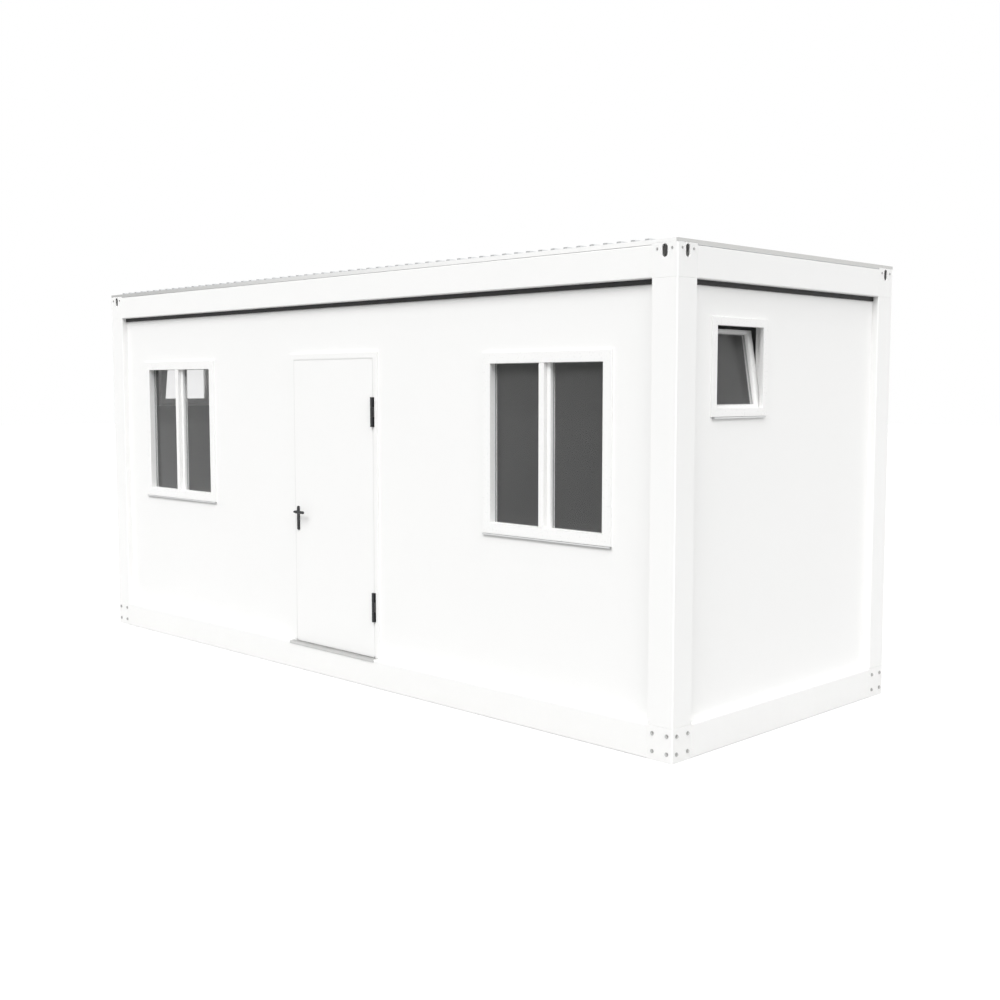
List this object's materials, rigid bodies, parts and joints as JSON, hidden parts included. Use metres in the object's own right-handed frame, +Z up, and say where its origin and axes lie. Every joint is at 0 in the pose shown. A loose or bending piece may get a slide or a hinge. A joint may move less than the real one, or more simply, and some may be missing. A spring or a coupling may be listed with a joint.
{
  "type": "container cabin",
  "caption": "White portable container cabin with a steel frame, insulated panel walls, ribbed roof, hinged door with lever handle, front windows and tilted end windows.",
  "frame": {"origin": "centre of the footprint on the ground", "axes": "+X along the long side to the right seen from the door side, +Y from the door wall to the back wall, +Z up"},
  "size_m": [6, 2.321, 2.835],
  "materials": {
    "frame_paint": "satin",
    "panel_paint": "satin",
    "door_paint": "satin",
    "window_plastic": "satin",
    "window_glass": "gloss",
    "sill_metal": "satin",
    "galvanised_steel": "satin",
    "threshold_aluminium": "satin",
    "floor_board": "matte",
    "floor_vinyl": "matte",
    "black_hardware": "satin"
  },
  "bodies": {
    "cabin": {"base_beam_front": "frame_paint", "base_beam_back": "frame_paint", "base_beam_left": "frame_paint", "base_beam_right": "frame_paint", "bottom_corners": "frame_paint", "corner_post_front_left": "frame_paint", "corner_post_front_right": "frame_paint", "corner_post_back_left": "frame_paint", "corner_post_back_right": "frame_paint", "top_corner_front_left": "frame_paint", "top_corner_front_right": "frame_paint", "top_corner_back_left": "frame_paint", "top_corner_back_right": "frame_paint", "roof_beam_front": "frame_paint", "roof_beam_back": "frame_paint", "roof_beam_left": "frame_paint", "roof_beam_right": "frame_paint", "underfloor_sheet": "galvanised_steel", "floor_joists": "galvanised_steel", "floor_deck": "floor_board", "floor_covering": "floor_vinyl", "ceiling_panel": "panel_paint", "roof_sheet": "galvanised_steel", "roof_edge_trims": "galvanised_steel", "front_wall_left": "panel_paint", "front_wall_right": "panel_paint", "front_wall_over_door": "panel_paint", "back_wall": "panel_paint", "left_end_wall": "panel_paint", "right_end_wall": "panel_paint", "door_frame": "door_paint", "threshold": "threshold_aluminium", "frame_hinges": "black_hardware", "front_window_frames": "window_plastic", "front_window_sashes": "window_plastic", "front_window_glass": "window_glass", "front_window_sills": "sill_metal", "end_window_frames": "window_plastic", "end_window_sashes": "window_plastic", "end_window_glass": "window_glass", "end_window_sills": "sill_metal"},
    "door": {"door_leaf": "door_paint", "leaf_hinges": "black_hardware", "handle_plates": "black_hardware"},
    "lever": {"door_lever": "black_hardware"}
  },
  "joints": [
    {"name": "door_swing", "type": "hinge", "parent": "cabin", "child": "door", "pos_m": [0.4435, -1.128, 1.2], "axis": [0, 0, 1], "range_deg": [0, 170]},
    {"name": "lever_turn", "type": "hinge", "parent": "door", "child": "lever", "pos_m": [-0.405, -1.095, 1.15], "axis": [0, 1, 0], "range_deg": [0, 40], "stiffness_Nm_per_rad": 1, "springref_deg": -45.84}
  ]
}
